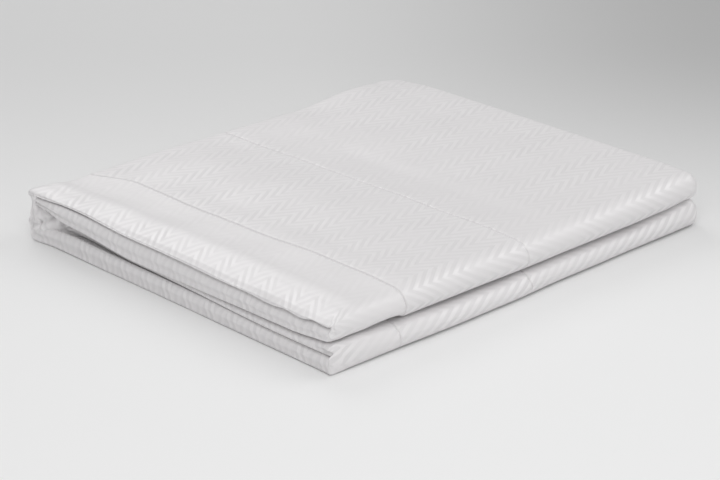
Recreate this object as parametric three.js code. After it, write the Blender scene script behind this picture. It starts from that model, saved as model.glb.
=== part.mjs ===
// A flat sheet of white cotton satin, folded into a flat pack that lies on a table.
// Millimetres, +Z up. X runs along the pack, from the end that shows the hem (-X) to the far end (+X).
// Y runs across it, from the side with two rounded folds (-Y) to the spine (+Y). The origin is the
// middle of the underside.
//
// The sheet is one cloth, folded twice. First it is laid to and fro along X into a pad of four layers.
// Then the pad is folded along Y: both its long edges come in to the middle, and the pack closes there
// like a book. That leaves four pads on each other: an upper packet, whose fold is the upper bulge, a
// lower packet with the lower bulge, and the spine that joins the two.
import * as THREE from "three";

// Driving dimensions
const length = 355;
const width = 312;
const padThickness = 9;
const clothThickness = 1.8;
const layersInPad = 4;
const hemRise = 0.5;
const spineThickness = 11;
const innerRadius = 0.5;
const spineGap = 2.5;
const bulgeCornerRadius = 8;
const spineCornerRadius = 18;

// Levels of the folds over the table, at places along the length counted from the hem end. Each row has
// values across the width: at the bulges, near them, in the middle, towards the spine and at the spine.
const topLevel = [
  { at: 0, bulge: 34.8, near: 34.8, middle: 35.2, flank: 37.0, spine: 36.2 },
  { at: 7, bulge: 35.8, near: 36.2, middle: 36.4, flank: 37.2, spine: 36.4 },
  { at: 16, bulge: 36.8, near: 37.4, middle: 37.6, flank: 37.4, spine: 36.4 },
  { at: 32, bulge: 37.2, near: 38.2, middle: 38.4, flank: 37.6, spine: 36.6 },
  { at: 62, bulge: 37.0, near: 37.9, middle: 37.9, flank: 37.4, spine: 36.6 },
  { at: 120, bulge: 37.2, near: 38.4, middle: 38.6, flank: 38.0, spine: 37.4 },
  { at: 178, bulge: 36.4, near: 37.2, middle: 37.0, flank: 36.4, spine: 35.8 },
  { at: 245, bulge: 37.2, near: 38.2, middle: 38.2, flank: 37.0, spine: 35.6 },
  { at: 300, bulge: 38.2, near: 39.4, middle: 39.6, flank: 39.6, spine: 39.8 },
  { at: 335, bulge: 39.0, near: 39.8, middle: 40.0, flank: 39.6, spine: 37.4 },
  { at: 355, bulge: 38.4, near: 39.6, middle: 39.6, flank: 39.2, spine: 36.0 },
];
const upperPinch = [
  { at: 0, bulge: 30.2, near: 30.4, middle: 31.8, flank: 33.6, spine: 33.0 },
  { at: 12, bulge: 29.0, near: 29.2, middle: 30.0, flank: 31.4, spine: 31.2 },
  { at: 32, bulge: 28.0, near: 28.2, middle: 28.6, flank: 28.8, spine: 28.6 },
  { at: 64, bulge: 27.6, near: 28.0, middle: 28.4, flank: 28.3, spine: 28.0 },
  { at: 178, bulge: 26.2, near: 27.4, middle: 27.8, flank: 27.6, spine: 27.6 },
  { at: 315, bulge: 28.2, near: 29.0, middle: 29.4, flank: 29.2, spine: 29.2 },
  { at: 355, bulge: 28.4, near: 29.6, middle: 29.6, flank: 29.4, spine: 28.4 },
];
const upperBase = [
  { at: 0, bulge: 21.4, near: 18.0, middle: 17.4, flank: 21.6, spine: 26.0 },
  { at: 32, bulge: 20.8, near: 18.8, middle: 18.4, flank: 19.6, spine: 20.8 },
  { at: 63, bulge: 21.8, near: 18.8, middle: 18.6, flank: 18.8, spine: 19.0 },
  { at: 65, bulge: 17.2, near: 18.2, middle: 18.6, flank: 18.8, spine: 19.0 },
  { at: 110, bulge: 16.8, near: 17.6, middle: 18.4, flank: 18.6, spine: 18.6 },
  { at: 178, bulge: 16.2, near: 17.2, middle: 18.4, flank: 18.4, spine: 18.4 },
  { at: 278, bulge: 16.6, near: 17.8, middle: 18.6, flank: 18.8, spine: 18.8 },
  { at: 318, bulge: 17.6, near: 18.8, middle: 19.2, flank: 19.2, spine: 19.2 },
  { at: 340, bulge: 20.0, near: 19.8, middle: 19.8, flank: 19.8, spine: 19.6 },
  { at: 355, bulge: 20.4, near: 20.0, middle: 20.0, flank: 20.0, spine: 19.8 },
];
const lowerTop = [
  { at: 0, bulge: 20.4, near: 17.2, middle: 16.6, flank: 16.6, spine: 16.0 },
  { at: 18, bulge: 19.8, near: 17.6, middle: 17.2, flank: 17.2, spine: 16.2 },
  { at: 44, bulge: 18.6, near: 18.2, middle: 18.0, flank: 18.4, spine: 18.6 },
  { at: 64, bulge: 17.0, near: 17.8, middle: 18.1, flank: 18.3, spine: 18.5 },
  { at: 110, bulge: 16.2, near: 17.1, middle: 17.9, flank: 18.1, spine: 18.1 },
  { at: 178, bulge: 15.4, near: 16.7, middle: 17.9, flank: 17.9, spine: 17.9 },
  { at: 278, bulge: 16.0, near: 17.3, middle: 18.1, flank: 18.3, spine: 18.3 },
  { at: 318, bulge: 17.1, near: 18.3, middle: 18.7, flank: 18.7, spine: 18.7 },
  { at: 340, bulge: 19.4, near: 19.3, middle: 19.3, flank: 19.3, spine: 19.1 },
  { at: 355, bulge: 19.8, near: 19.5, middle: 19.5, flank: 19.5, spine: 19.3 },
];
const lowerPinch = [
  { at: 0, bulge: 12.4, near: 12.0, middle: 12.6, flank: 12.8, spine: 11.4 },
  { at: 12, bulge: 11.2, near: 11.0, middle: 11.4, flank: 11.4, spine: 10.4 },
  { at: 32, bulge: 9.6, near: 9.8, middle: 9.8, flank: 9.8, spine: 9.6 },
  { at: 64, bulge: 8.2, near: 9.3, middle: 9.2, flank: 9.2, spine: 9.2 },
  { at: 178, bulge: 7.2, near: 8.6, middle: 9.2, flank: 9.2, spine: 9.2 },
  { at: 315, bulge: 8.6, near: 9.4, middle: 9.6, flank: 9.6, spine: 9.6 },
  { at: 355, bulge: 9.6, near: 10.0, middle: 10.0, flank: 10.0, spine: 9.9 },
];

// The rim of the lowest hem stands up where the pad over it ends further in.
const rimRise = [
  { at: 0, bulge: 0.4, near: 0, middle: 3.2, flank: 3.6, spine: 0 },
  { at: 6, bulge: 0, near: 0, middle: 0, flank: 0, spine: 0 },
];

// How far the hem's seam lies from the hem end.
const seamPlace = { bulge: 63.5, near: 64.5, middle: 60, flank: 62, spine: 49.5 };
const lowerSeamShift = -6.5;

// The bulges: how far each stands in from the side of the pack, and how deep its rounded nose is.
const bulgeShape = [
  { at: 0, upperInset: 4.8, lowerInset: 3.4, nose: 2.6 },
  { at: 8, upperInset: 4.4, lowerInset: 2.6, nose: 5.0 },
  { at: 20, upperInset: 4.2, lowerInset: 1.8, nose: 7.0 },
  { at: 60, upperInset: 4.0, lowerInset: 1.0, nose: 9.0 },
  { at: 106, upperInset: 4.0, lowerInset: 0.0, nose: 9.0 },
  { at: 150, upperInset: 4.0, lowerInset: 0.2, nose: 9.0 },
  { at: 217, upperInset: 4.0, lowerInset: 2.2, nose: 9.0 },
  { at: 302, upperInset: 4.0, lowerInset: 3.2, nose: 9.0 },
  { at: 345, upperInset: 4.4, lowerInset: 3.6, nose: 8.6 },
  { at: 355, upperInset: 5.4, lowerInset: 4.4, nose: 8.0 },
];

// How far the spine stands out at heights given as shares of the pack, at its hem end and elsewhere.
const spineLobes = [
  { share: 0.0, hemEnd: -2.4, elsewhere: -4.0 },
  { share: 0.22, hemEnd: -2.2, elsewhere: -3.2 },
  { share: 0.33, hemEnd: 0.0, elsewhere: -2.8 },
  { share: 0.5, hemEnd: -2.8, elsewhere: -2.6 },
  { share: 0.75, hemEnd: -3.8, elsewhere: -2.8 },
  { share: 1.0, hemEnd: -1.0, elsewhere: -4.0 },
];
const spineEndReach = 30;

// How far the ends of each leg of the fold stand in from the ends of the pack. A minus sign means that
// they stand out.
const hemInsets = {
  upperUnder: { bulge: 0.6, near: 0.2, middle: 0, flank: 0, spine: 0.4 },
  upperBulge: { bulge: 0.8, near: 0.8, middle: 0.8, flank: 0.8, spine: 0.8 },
  top: { bulge: 1.2, near: 1.2, middle: 2.2, flank: 3.4, spine: 0 },
  spine: { bulge: 0, near: 0, middle: 0, flank: 0, spine: 0.8 },
  bottom: { bulge: 0.3, near: 0.6, middle: 1.4, flank: 2.0, spine: 1.6 },
  lowerBulge: { bulge: 0.2, near: 0.2, middle: 0.2, flank: 0.2, spine: 0.2 },
  lowerUpper: { bulge: 0.8, near: 1.4, middle: 6, flank: 10, spine: 9 },
};
const farInsets = {
  upperUnder: { bulge: 2, near: 2, middle: 1.5, flank: 1, spine: 1 },
  upperBulge: { bulge: 0.6, near: 0.6, middle: 0.6, flank: 0.6, spine: 0.6 },
  top: { bulge: 0.6, near: 0.2, middle: 0.2, flank: 0, spine: 0.4 },
  spine: { bulge: 0.5, near: 0.5, middle: 0.5, flank: 0.5, spine: 0.5 },
  bottom: { bulge: 0.4, near: 0.6, middle: 1, flank: 1, spine: 1 },
  lowerBulge: { bulge: 0, near: 0, middle: 0, flank: 0, spine: 0 },
  lowerUpper: { bulge: 0, near: 0.5, middle: 1, flank: 1, spine: 2 },
};
const endInsetReach = 36;

// Smooth step from 0 to 1
function ease(share) {
  const s = Math.min(1, Math.max(0, share));
  return s * s * (3 - 2 * s);
}

function mix(a, b, share) {
  return a + (b - a) * share;
}

// The value of a column between the rows of a table, eased from row to row.
function read(table, column, at, key = "at") {
  const above = table.findIndex((row) => row[key] > at);
  if (above === 0) return table[0][column];
  if (above < 0) return table[table.length - 1][column];
  const low = table[above - 1];
  const high = table[above];
  return mix(low[column], high[column], ease((at - low[key]) / (high[key] - low[key])));
}

// The value of a table's row across the width: the named columns, eased from one to the next.
const acrossColumns = [
  { at: -width / 2, column: "bulge" },
  { at: -0.36 * width, column: "near" },
  { at: 0.12 * width, column: "middle" },
  { at: 0.34 * width, column: "flank" },
  { at: width / 2, column: "spine" },
];

function spread(valueOf, across) {
  const rows = acrossColumns.map(({ at, column }) => ({ at, value: valueOf(column) }));
  return read(rows, "value", across);
}

// A level at a place along the length and across the width.
function level(table, along, across) {
  return spread((column) => read(table, column, along), across);
}

// A ray of a turn: from a small round core to an outer curve that is a rounded box of the given reach.
function ray(centre, angle, reach, roundness) {
  const cos = Math.cos(angle);
  const sin = Math.sin(angle);
  const up = sin > 0 ? reach.up : reach.down;
  const power = 2 / (sin > 0 ? roundness.up : roundness.down);
  const grow = (value) => Math.sign(value) * Math.abs(value) ** power;
  return {
    inner: [centre[0] + innerRadius * cos, centre[1] + innerRadius * sin],
    outer: [centre[0] + reach.out * grow(cos), centre[1] + up * grow(sin)],
  };
}

// Roundness of the turns: 2 is an ellipse, and more is squarer.
const upperRoundness = { up: 2.3, down: 2.8 };
const lowerRoundness = { up: 2.4, down: 5.5 };
const spineRoundness = { up: 3.2, down: 4.6 };
const quarter = Math.PI / 2;

// Where the middle of a bulge's turn lies, from the side of the pack.
function bulgeCentre(along, which) {
  const inset = read(bulgeShape, which + "Inset", along);
  return -width / 2 + inset + read(bulgeShape, "nose", along);
}

const spineInside = width / 2 - spineThickness;
const spineCorner = spineInside - innerRadius;
const freeEnd = spineInside - spineGap;

// The legs of the fold across the pack, in order. Each gives, at a share of its own way and a place
// along the pack, the inner and outer point of the pad there, and its place across the pack.
const legs = {
  upperUnder: {
    steps: 5,
    at(share, along) {
      const across = mix(freeEnd, bulgeCentre(along, "upper"), share);
      return {
        across,
        inner: [across, level(upperPinch, along, across) - innerRadius],
        outer: [across, level(upperBase, along, across)],
      };
    },
  },
  upperBulge: {
    steps: 8,
    at(share, along) {
      const across = bulgeCentre(along, "upper");
      const pinch = level(upperPinch, along, across);
      const reach = {
        out: read(bulgeShape, "nose", along),
        up: level(topLevel, along, across) - pinch,
        down: pinch - level(upperBase, along, across),
      };
      const turn = mix(3 * quarter, quarter, share);
      return { across, ...ray([across, pinch], turn, reach, upperRoundness) };
    },
  },
  top: {
    steps: 8,
    at(share, along) {
      const across = mix(bulgeCentre(along, "upper"), spineCorner, share);
      return {
        across,
        inner: [across, level(upperPinch, along, across) + innerRadius],
        outer: [across, level(topLevel, along, across)],
      };
    },
  },
  spine: {
    steps: 10,
    at(share, along) {
      const upper = level(upperPinch, along, spineCorner);
      const lower = level(lowerPinch, along, spineCorner);
      const height = level(topLevel, along, spineCorner);
      const cornerShare = 0.35;
      let point;
      if (share < cornerShare) {
        const reach = { out: width / 2 - spineCorner, up: height - upper, down: 0 };
        const turn = mix(quarter, 0, share / cornerShare);
        point = ray([spineCorner, upper], turn, reach, spineRoundness);
      } else if (share > 1 - cornerShare) {
        const reach = { out: width / 2 - spineCorner, up: 0, down: lower };
        const turn = mix(0, -quarter, (share - 1 + cornerShare) / cornerShare);
        point = ray([spineCorner, lower], turn, reach, spineRoundness);
      } else {
        const fall = mix(upper, lower, (share - cornerShare) / (1 - 2 * cornerShare));
        point = { inner: [spineInside, fall], outer: [width / 2, fall] };
      }
      const lobeShare = point.outer[1] / height;
      const endShare = 1 - ease(along / spineEndReach);
      const lobe = mix(
        read(spineLobes, "elsewhere", lobeShare, "share"),
        read(spineLobes, "hemEnd", lobeShare, "share"),
        endShare,
      );
      point.outer[0] += lobe * ((point.outer[0] - spineCorner) / (width / 2 - spineCorner));
      return { across: spineCorner, ...point };
    },
  },
  bottom: {
    steps: 5,
    at(share, along) {
      const across = mix(spineCorner, bulgeCentre(along, "lower"), share);
      const rim = level(rimRise, along, across);
      return {
        across,
        inner: [across, level(lowerPinch, along, across) - innerRadius + rim],
        outer: [across, 0],
      };
    },
  },
  lowerBulge: {
    steps: 8,
    at(share, along) {
      const across = bulgeCentre(along, "lower");
      const pinch = level(lowerPinch, along, across);
      const top = level(lowerTop, along, across);
      const reach = { out: read(bulgeShape, "nose", along), up: top - pinch, down: pinch };
      const turn = mix(3 * quarter, quarter, share);
      return { across, ...ray([across, pinch], turn, reach, lowerRoundness) };
    },
  },
  lowerUpper: {
    steps: 5,
    at(share, along) {
      const across = mix(bulgeCentre(along, "lower"), freeEnd, share);
      return {
        across,
        inner: [across, level(lowerPinch, along, across) + innerRadius],
        outer: [across, level(lowerTop, along, across)],
      };
    },
  },
};

// How far the fold moves along X at a place, so that the legs' ends stand in or out.
function endShift(name, across, along) {
  const hem = spread((column) => hemInsets[name][column], across);
  const far = spread((column) => farInsets[name][column], across);
  const nearHem = 1 - ease(along / endInsetReach);
  const nearFar = 1 - ease((length - along) / endInsetReach);
  return hem * nearHem - far * nearFar;
}

// The far corners are round in plan: in the square at each corner the sides bend onto a quarter circle.
function roundFarCorner([x, y, z]) {
  const radius = y < 0 ? bulgeCornerRadius : spineCornerRadius;
  const a = (x - length / 2 + radius) / radius;
  const b = (Math.abs(y) - width / 2 + radius) / radius;
  if (a <= 0 || b <= 0) return [x, y, z];
  return [
    x + radius * a * (Math.sqrt(1 - (b * b) / 2) - 1),
    y + Math.sign(y) * radius * b * (Math.sqrt(1 - (a * a) / 2) - 1),
    z,
  ];
}

// The pad's own fold, drawn in the plane of its length and depth, as the path of the cloth's middle.
// Depth is 0 at the pad's inner face and padThickness at its outer face. The cloth starts at the hem's
// edge, which curls round the pad's end, runs out on the outer face, turns to the inner face at the far
// end, comes back, turns inwards, and goes out and back once more between those two layers.
const layerPitch = (padThickness - clothThickness) / (layersInPad - 1);
const layerDepth = (layer) => padThickness - clothThickness / 2 - (layer - 1) * layerPitch;
const curlReach = { bulge: 4.6, near: 5, middle: 5, flank: 4.4, spine: 1.8 };
const curlEndDepth = 1.3;
const innerTurnAt = 10;
const looseEndAt = 8.5;
const farTurnReach = 5.6;
const nestedTurnReach = 2;
const seamStep = 1.2;

function arc(centre, radii, from, to, steps) {
  const points = [];
  for (let i = 0; i <= steps; i++) {
    const angle = mix(from, to, i / steps);
    points.push({
      along: centre[0] + radii[0] * Math.cos(angle),
      depth: centre[1] + radii[1] * Math.sin(angle),
    });
  }
  return points;
}

const outerPlaces = [15, 27, 42, "seam", "seamFoot", 85, 120, 152, 174, 182, 210, 245, 285, 318, 340];
const backPlaces = [318, 245, 178, 105, 42];

function padPath(station) {
  const { across } = legs[station.name].at(station.share, hemMiddle);
  const lower = { spine: station.share, bottom: 1, lowerBulge: 1, lowerUpper: 1 }[station.name] ?? 0;
  const seam = spread((column) => seamPlace[column], across) + lower * lowerSeamShift;
  const curl = spread((column) => curlReach[column], across);
  const outer = layerDepth(1);
  const second = layerDepth(2);
  const third = layerDepth(3);
  const inner = layerDepth(4);
  const hemTurn = clothThickness / 2 + curl;
  const farTurn = length - clothThickness / 2 - farTurnReach;
  const nestedTurn = farTurn - 0.6;
  const half = Math.PI;
  const path = arc(
    [hemTurn, (outer + curlEndDepth) / 2],
    [curl, (outer - curlEndDepth) / 2],
    half + quarter,
    quarter,
    6,
  );
  const places = { seam, seamFoot: seam + seamStep };
  outerPlaces.forEach((at) => path.push({ along: places[at] ?? at, depth: outer }));
  path.push(...arc([farTurn, (outer + inner) / 2], [farTurnReach, (outer - inner) / 2], quarter, -quarter, 6));
  backPlaces.forEach((along) => path.push({ along, depth: inner }));
  const small = (third - inner) / 2;
  path.push(...arc([innerTurnAt, inner + small], [small, small], 3 * quarter, quarter, 4));
  [...backPlaces].reverse().forEach((along) => path.push({ along, depth: third }));
  path.push(...arc([nestedTurn, (second + third) / 2], [nestedTurnReach, small], -quarter, quarter, 4));
  backPlaces.forEach((along) => path.push({ along, depth: second }));
  path.push({ along: looseEndAt, depth: second });
  return path;
}
const seamStation = 6 + 1 + outerPlaces.indexOf("seam");

// Unit normals of the path, to the left of its direction.
function normals(path) {
  return path.map((point, i) => {
    const before = path[Math.max(0, i - 1)];
    const after = path[Math.min(path.length - 1, i + 1)];
    const run = after.along - before.along;
    const rise = after.depth - before.depth;
    const size = Math.hypot(run, rise);
    return { along: -rise / size, depth: run / size };
  });
}

// Stations across the pack: each leg's name and share, with the legs' shared ends once.
function stations() {
  const list = [];
  Object.entries(legs).forEach(([name, leg], order) => {
    for (let i = order ? 1 : 0; i <= leg.steps; i++) list.push({ name, share: i / leg.steps });
  });
  return list;
}

// A point of the pack: a station across it, and a place along it and a depth in the pad there.
function place(station, along, depth) {
  const within = Math.min(length, Math.max(0, along));
  const { across, inner, outer } = legs[station.name].at(station.share, within);
  const share = depth / padThickness;
  return roundFarCorner([
    along - length / 2 + endShift(station.name, across, within),
    mix(inner[0], outer[0], share),
    mix(inner[1], outer[1], share),
  ]);
}

// The hem is double cloth, so its outer side stands proud, but less so where it faces down.
const hemMiddle = 32;

function proud(station, index) {
  if (index > seamStation) return 0;
  const { inner, outer } = legs[station.name].at(station.share, hemMiddle);
  const facing = (outer[1] - inner[1]) / Math.hypot(outer[0] - inner[0], outer[1] - inner[1]);
  return hemRise * Math.min(1, 1 + facing);
}

function sheetGeometry() {
  const across = stations();
  const rows = across.length;
  const columns = padPath(across[0]).length;
  const positions = [];
  for (const side of [1, -1]) {
    for (const station of across) {
      const path = padPath(station);
      const normal = normals(path);
      path.forEach((point, k) => {
        const lift = side * (clothThickness / 2) + (side > 0 ? proud(station, k) : 0);
        positions.push(
          ...place(station, point.along + lift * normal[k].along, point.depth + lift * normal[k].depth),
        );
      });
    }
  }
  const at = (side, row, column) => side * rows * columns + row * columns + column;
  const index = [];
  const quad = (a, b, c, d) => index.push(a, b, c, a, c, d);
  for (let row = 0; row < rows - 1; row++) {
    for (let column = 0; column < columns - 1; column++) {
      quad(at(0, row, column), at(0, row, column + 1), at(0, row + 1, column + 1), at(0, row + 1, column));
      quad(at(1, row, column), at(1, row + 1, column), at(1, row + 1, column + 1), at(1, row, column + 1));
    }
  }
  for (let column = 0; column < columns - 1; column++) {
    quad(at(0, 0, column), at(1, 0, column), at(1, 0, column + 1), at(0, 0, column + 1));
    const last = rows - 1;
    quad(at(0, last, column), at(0, last, column + 1), at(1, last, column + 1), at(1, last, column));
  }
  for (let row = 0; row < rows - 1; row++) {
    quad(at(0, row, 0), at(0, row + 1, 0), at(1, row + 1, 0), at(1, row, 0));
    const last = columns - 1;
    quad(at(0, row, last), at(1, row, last), at(1, row + 1, last), at(0, row + 1, last));
  }
  const geometry = new THREE.BufferGeometry();
  geometry.setAttribute("position", new THREE.Float32BufferAttribute(positions, 3));
  geometry.setIndex(index);
  geometry.computeBoundingBox();
  const { min, max } = geometry.boundingBox;
  geometry.translate(-(min.x + max.x) / 2, -(min.y + max.y) / 2, -min.z);
  geometry.computeVertexNormals();
  return geometry;
}

const satin = new THREE.MeshStandardMaterial({ color: 0xe9e8e6, roughness: 0.55, metalness: 0 });
const sheet = new THREE.Mesh(sheetGeometry(), satin);
sheet.name = "folded_sheet";
const pack = new THREE.Group();
pack.add(sheet);

export default pack;
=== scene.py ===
"""A flat sheet of white cotton satin with a woven herringbone, folded into a flat pack.

The cloth is one long surface. It is laid to and fro along X into a pad, and the pad is folded across:
both its long edges come in to the middle, and the pack closes like a book. Its two folds are the
bulges at -Y, and the spine at +Y joins the upper and the lower packet. The hem is at the -X end, where
a bit of the same cloth shows tucked in beside the spine. One line of stitches holds the hem.
"""

import math

import bpy
import numpy as np
from bpy.props import FloatProperty, FloatVectorProperty, PointerProperty
from bpy.types import Operator, Panel, PropertyGroup
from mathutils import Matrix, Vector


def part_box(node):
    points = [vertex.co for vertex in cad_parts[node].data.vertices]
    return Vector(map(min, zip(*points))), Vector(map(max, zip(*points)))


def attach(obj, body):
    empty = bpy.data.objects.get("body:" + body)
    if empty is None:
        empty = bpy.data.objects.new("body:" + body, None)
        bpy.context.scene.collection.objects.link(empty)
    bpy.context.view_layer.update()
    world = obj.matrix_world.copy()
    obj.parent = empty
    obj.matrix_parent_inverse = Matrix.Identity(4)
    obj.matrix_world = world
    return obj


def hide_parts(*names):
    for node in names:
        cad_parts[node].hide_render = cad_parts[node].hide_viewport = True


bl_info = {
    "name": "Folded flat sheet",
    "version": (1, 0, 0),
    "blender": (4, 5, 0),
    "location": "View3D > Sidebar > Sheet",
    "description": "Models a folded satin sheet in its packed frame, with its stitches and its stage",
    "category": "Add Mesh",
}

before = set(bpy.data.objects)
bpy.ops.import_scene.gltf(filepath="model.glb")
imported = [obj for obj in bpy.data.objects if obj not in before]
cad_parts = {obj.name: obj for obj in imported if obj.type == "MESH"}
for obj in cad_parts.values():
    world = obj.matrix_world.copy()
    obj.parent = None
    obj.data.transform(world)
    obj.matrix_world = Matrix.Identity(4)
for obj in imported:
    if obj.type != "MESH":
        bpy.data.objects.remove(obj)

SHEET_NODE = "folded_sheet"
BODY = "root"
MM = 0.001
QUARTER = math.pi / 2

# The pack's sizes, in millimetres, as in its frame.
LENGTH = 355
WIDTH = 312
PAD_THICKNESS = 9
LAYERS_IN_PAD = 4
SPINE_THICKNESS = 11
INNER_RADIUS = 0.3
SPINE_GAP = 0.6
BULGE_CORNER_RADIUS = 8
SPINE_CORNER_RADIUS = 18


def ease(share):
    """Smooth step from 0 to 1."""
    s = np.clip(share, 0, 1)
    return s * s * (3 - 2 * s)


def mix(a, b, share):
    return a + (b - a) * share


class Table:
    """Rows of named columns, read between its rows with an eased step."""

    def __init__(self, names, *rows):
        self.columns = dict(zip(names.split(), np.array(rows, float).T))

    def read(self, name, at, key="at"):
        places, values = self.columns[key], self.columns[name]
        low = np.clip(np.searchsorted(places, at, side="right") - 1, 0, len(places) - 2)
        return mix(values[low], values[low + 1], ease((at - places[low]) / (places[low + 1] - places[low])))


# Places across the pack: at the bulges, near them, in the middle, towards the spine and at the spine.
ACROSS = "bulge near middle flank spine"
ACROSS_PLACES = WIDTH * np.array([-0.5, -0.36, 0.12, 0.34, 0.5])

# Levels of the folds over the table, at places along the length counted from the hem end.
TOP_LEVEL = Table(
    "at " + ACROSS,
    (0, 33.5, 33.2, 34.0, 35.9, 36.9),
    (5, 34.8, 34.9, 35.5, 36.7, 37.6),
    (10, 35.9, 36.3, 36.7, 37.3, 37.8),
    (16, 36.7, 37.4, 37.6, 37.6, 37.4),
    (32, 37.2, 38.2, 38.4, 37.6, 36.6),
    (62, 37.0, 37.9, 37.9, 37.4, 36.6),
    (120, 37.2, 38.4, 38.6, 38.0, 37.4),
    (178, 36.4, 37.2, 37.0, 36.4, 35.8),
    (245, 37.2, 38.2, 38.2, 37.0, 35.6),
    (300, 38.2, 39.4, 39.6, 39.6, 39.8),
    (335, 39.0, 39.8, 40.0, 39.6, 37.4),
    (355, 38.4, 39.6, 39.6, 39.2, 36.0),
)
UPPER_PINCH = Table(
    "at " + ACROSS,
    (0, 30.6, 31.0, 32.5, 34.2, 33.4),
    (12, 29.2, 29.5, 30.4, 31.7, 31.4),
    (32, 28.0, 28.2, 28.6, 28.8, 28.6),
    (64, 27.6, 28.0, 28.4, 28.3, 28.0),
    (178, 26.2, 27.4, 27.8, 27.6, 27.6),
    (315, 28.2, 29.0, 29.4, 29.2, 29.2),
    (355, 28.4, 29.6, 29.6, 29.4, 28.4),
)
UPPER_BASE = Table(
    "at " + ACROSS,
    (0, 21.4, 18.6, 17.4, 22.4, 29.4),
    (32, 20.8, 18.8, 18.4, 19.6, 20.8),
    (52, 21.6, 18.8, 18.6, 18.8, 19.0),
    (60, 20.8, 18.7, 18.6, 18.8, 19.0),
    (63.5, 19.2, 18.5, 18.6, 18.8, 19.0),
    (66, 17.2, 18.2, 18.6, 18.8, 19.0),
    (110, 16.8, 17.6, 18.4, 18.6, 18.6),
    (178, 16.2, 17.2, 18.4, 18.4, 18.4),
    (278, 16.6, 17.8, 18.6, 18.8, 18.8),
    (318, 17.6, 18.8, 19.2, 19.2, 19.2),
    (340, 20.0, 19.8, 19.8, 19.8, 19.6),
    (355, 20.4, 20.0, 20.0, 20.0, 19.8),
)
LOWER_TOP = Table(
    "at " + ACROSS,
    (0, 20.4, 17.2, 16.6, 16.6, 16.0),
    (18, 19.6, 17.6, 17.2, 17.2, 16.2),
    (44, 18.0, 18.2, 18.0, 18.4, 18.6),
    (64, 16.2, 17.8, 18.1, 18.3, 18.5),
    (110, 15.3, 17.1, 17.9, 18.1, 18.1),
    (178, 14.6, 16.7, 17.9, 17.9, 17.9),
    (278, 15.2, 17.3, 18.1, 18.3, 18.3),
    (318, 16.4, 18.3, 18.7, 18.7, 18.7),
    (340, 19.0, 19.3, 19.3, 19.3, 19.1),
    (355, 19.8, 19.5, 19.5, 19.5, 19.3),
)
LOWER_PINCH = Table(
    "at " + ACROSS,
    (0, 12.4, 12.0, 12.6, 12.8, 11.4),
    (12, 11.2, 11.0, 11.4, 11.4, 10.4),
    (32, 9.6, 9.8, 9.8, 9.8, 9.6),
    (64, 8.2, 9.3, 9.2, 9.2, 9.2),
    (178, 7.2, 8.6, 9.2, 9.2, 9.2),
    (315, 8.6, 9.4, 9.6, 9.6, 9.6),
    (355, 9.6, 10.0, 10.0, 10.0, 9.9),
)

# The rim of the lowest hem stands up where the pad over it ends further in.
RIM_RISE = Table("at " + ACROSS, (0, 0.4, 0, 3.2, 3.6, 0), (6, 0, 0, 0, 0, 0))

# How far the hem's seam lies from the hem end.
SEAM_PLACE = (63.5, 64.5, 60, 62, 49.5)
LOWER_SEAM_SHIFT = -6.5

# How far each bulge stands in from the side of the pack, and how deep its rounded nose is.
BULGE_SHAPE = Table(
    "at upper_inset lower_inset upper_nose lower_nose",
    (0, 4.8, 3.4, 3.6, 2.6),
    (8, 4.4, 2.6, 6.5, 5.0),
    (20, 4.2, 1.8, 10.0, 7.5),
    (60, 4.0, 1.0, 14.0, 10.0),
    (106, 4.0, 0.0, 14.5, 10.5),
    (150, 4.0, 0.2, 14.5, 10.5),
    (217, 4.0, 2.2, 14.5, 10.5),
    (302, 4.0, 3.2, 14.0, 10.5),
    (345, 4.4, 3.6, 12.0, 9.5),
    (355, 5.4, 4.4, 10.0, 8.5),
)

# How far the spine stands out at shares of its height, at its hem end and elsewhere.
SPINE_LOBES = Table(
    "share hem_end elsewhere",
    (0.0, -2.4, -4.0),
    (0.22, -2.2, -3.2),
    (0.33, 0.0, -2.8),
    (0.5, -2.8, -2.6),
    (0.75, -3.8, -2.8),
    (1.0, -1.0, -4.0),
)
SPINE_END_REACH = 30

# How far the ends of each leg of the fold stand in from the ends of the pack, by places across.
HEM_INSETS = {
    "upper_under": (0.6, 0.2, 0, 0, 0.4),
    "upper_bulge": (0.8, 0.8, 0.8, 0.8, 0.8),
    "top": (1.0, 1.2, 2.2, 3.6, 1.4),
    "spine": (0, 0, 0, 0, 0.8),
    "bottom": (0.3, 0.6, 1.4, 2.0, 1.6),
    "lower_bulge": (0.2, 0.2, 0.2, 0.2, 0.2),
    "lower_upper": (0.8, 1.4, 6, 10, 9),
}
FAR_INSETS = {
    "upper_under": (2, 2, 1.5, 1, 1),
    "upper_bulge": (0.6, 0.6, 0.6, 0.6, 0.6),
    "top": (0.6, 0.2, 0.2, 0, 0.4),
    "spine": (0.5, 0.5, 0.5, 0.5, 0.5),
    "bottom": (0.4, 0.6, 1, 1, 1),
    "lower_bulge": (0, 0, 0, 0, 0),
    "lower_upper": (0, 0.5, 1, 1, 2),
}
END_INSET_REACH = 36

# Roundness of the turns: 2 is an ellipse, and more is squarer.
UPPER_ROUNDNESS = (2.0, 2.6)
LOWER_ROUNDNESS = (1.65, 2.6)
SPINE_ROUNDNESS = (3.2, 4.6)

# Stations across each leg of the fold, in the order of the cloth.
LEG_STEPS = {
    "upper_under": 28,
    "upper_bulge": 26,
    "top": 80,
    "spine": 42,
    "bottom": 24,
    "lower_bulge": 24,
    "lower_upper": 28,
}
LOWER_LEGS = {"spine", "bottom", "lower_bulge", "lower_upper"}

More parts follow.
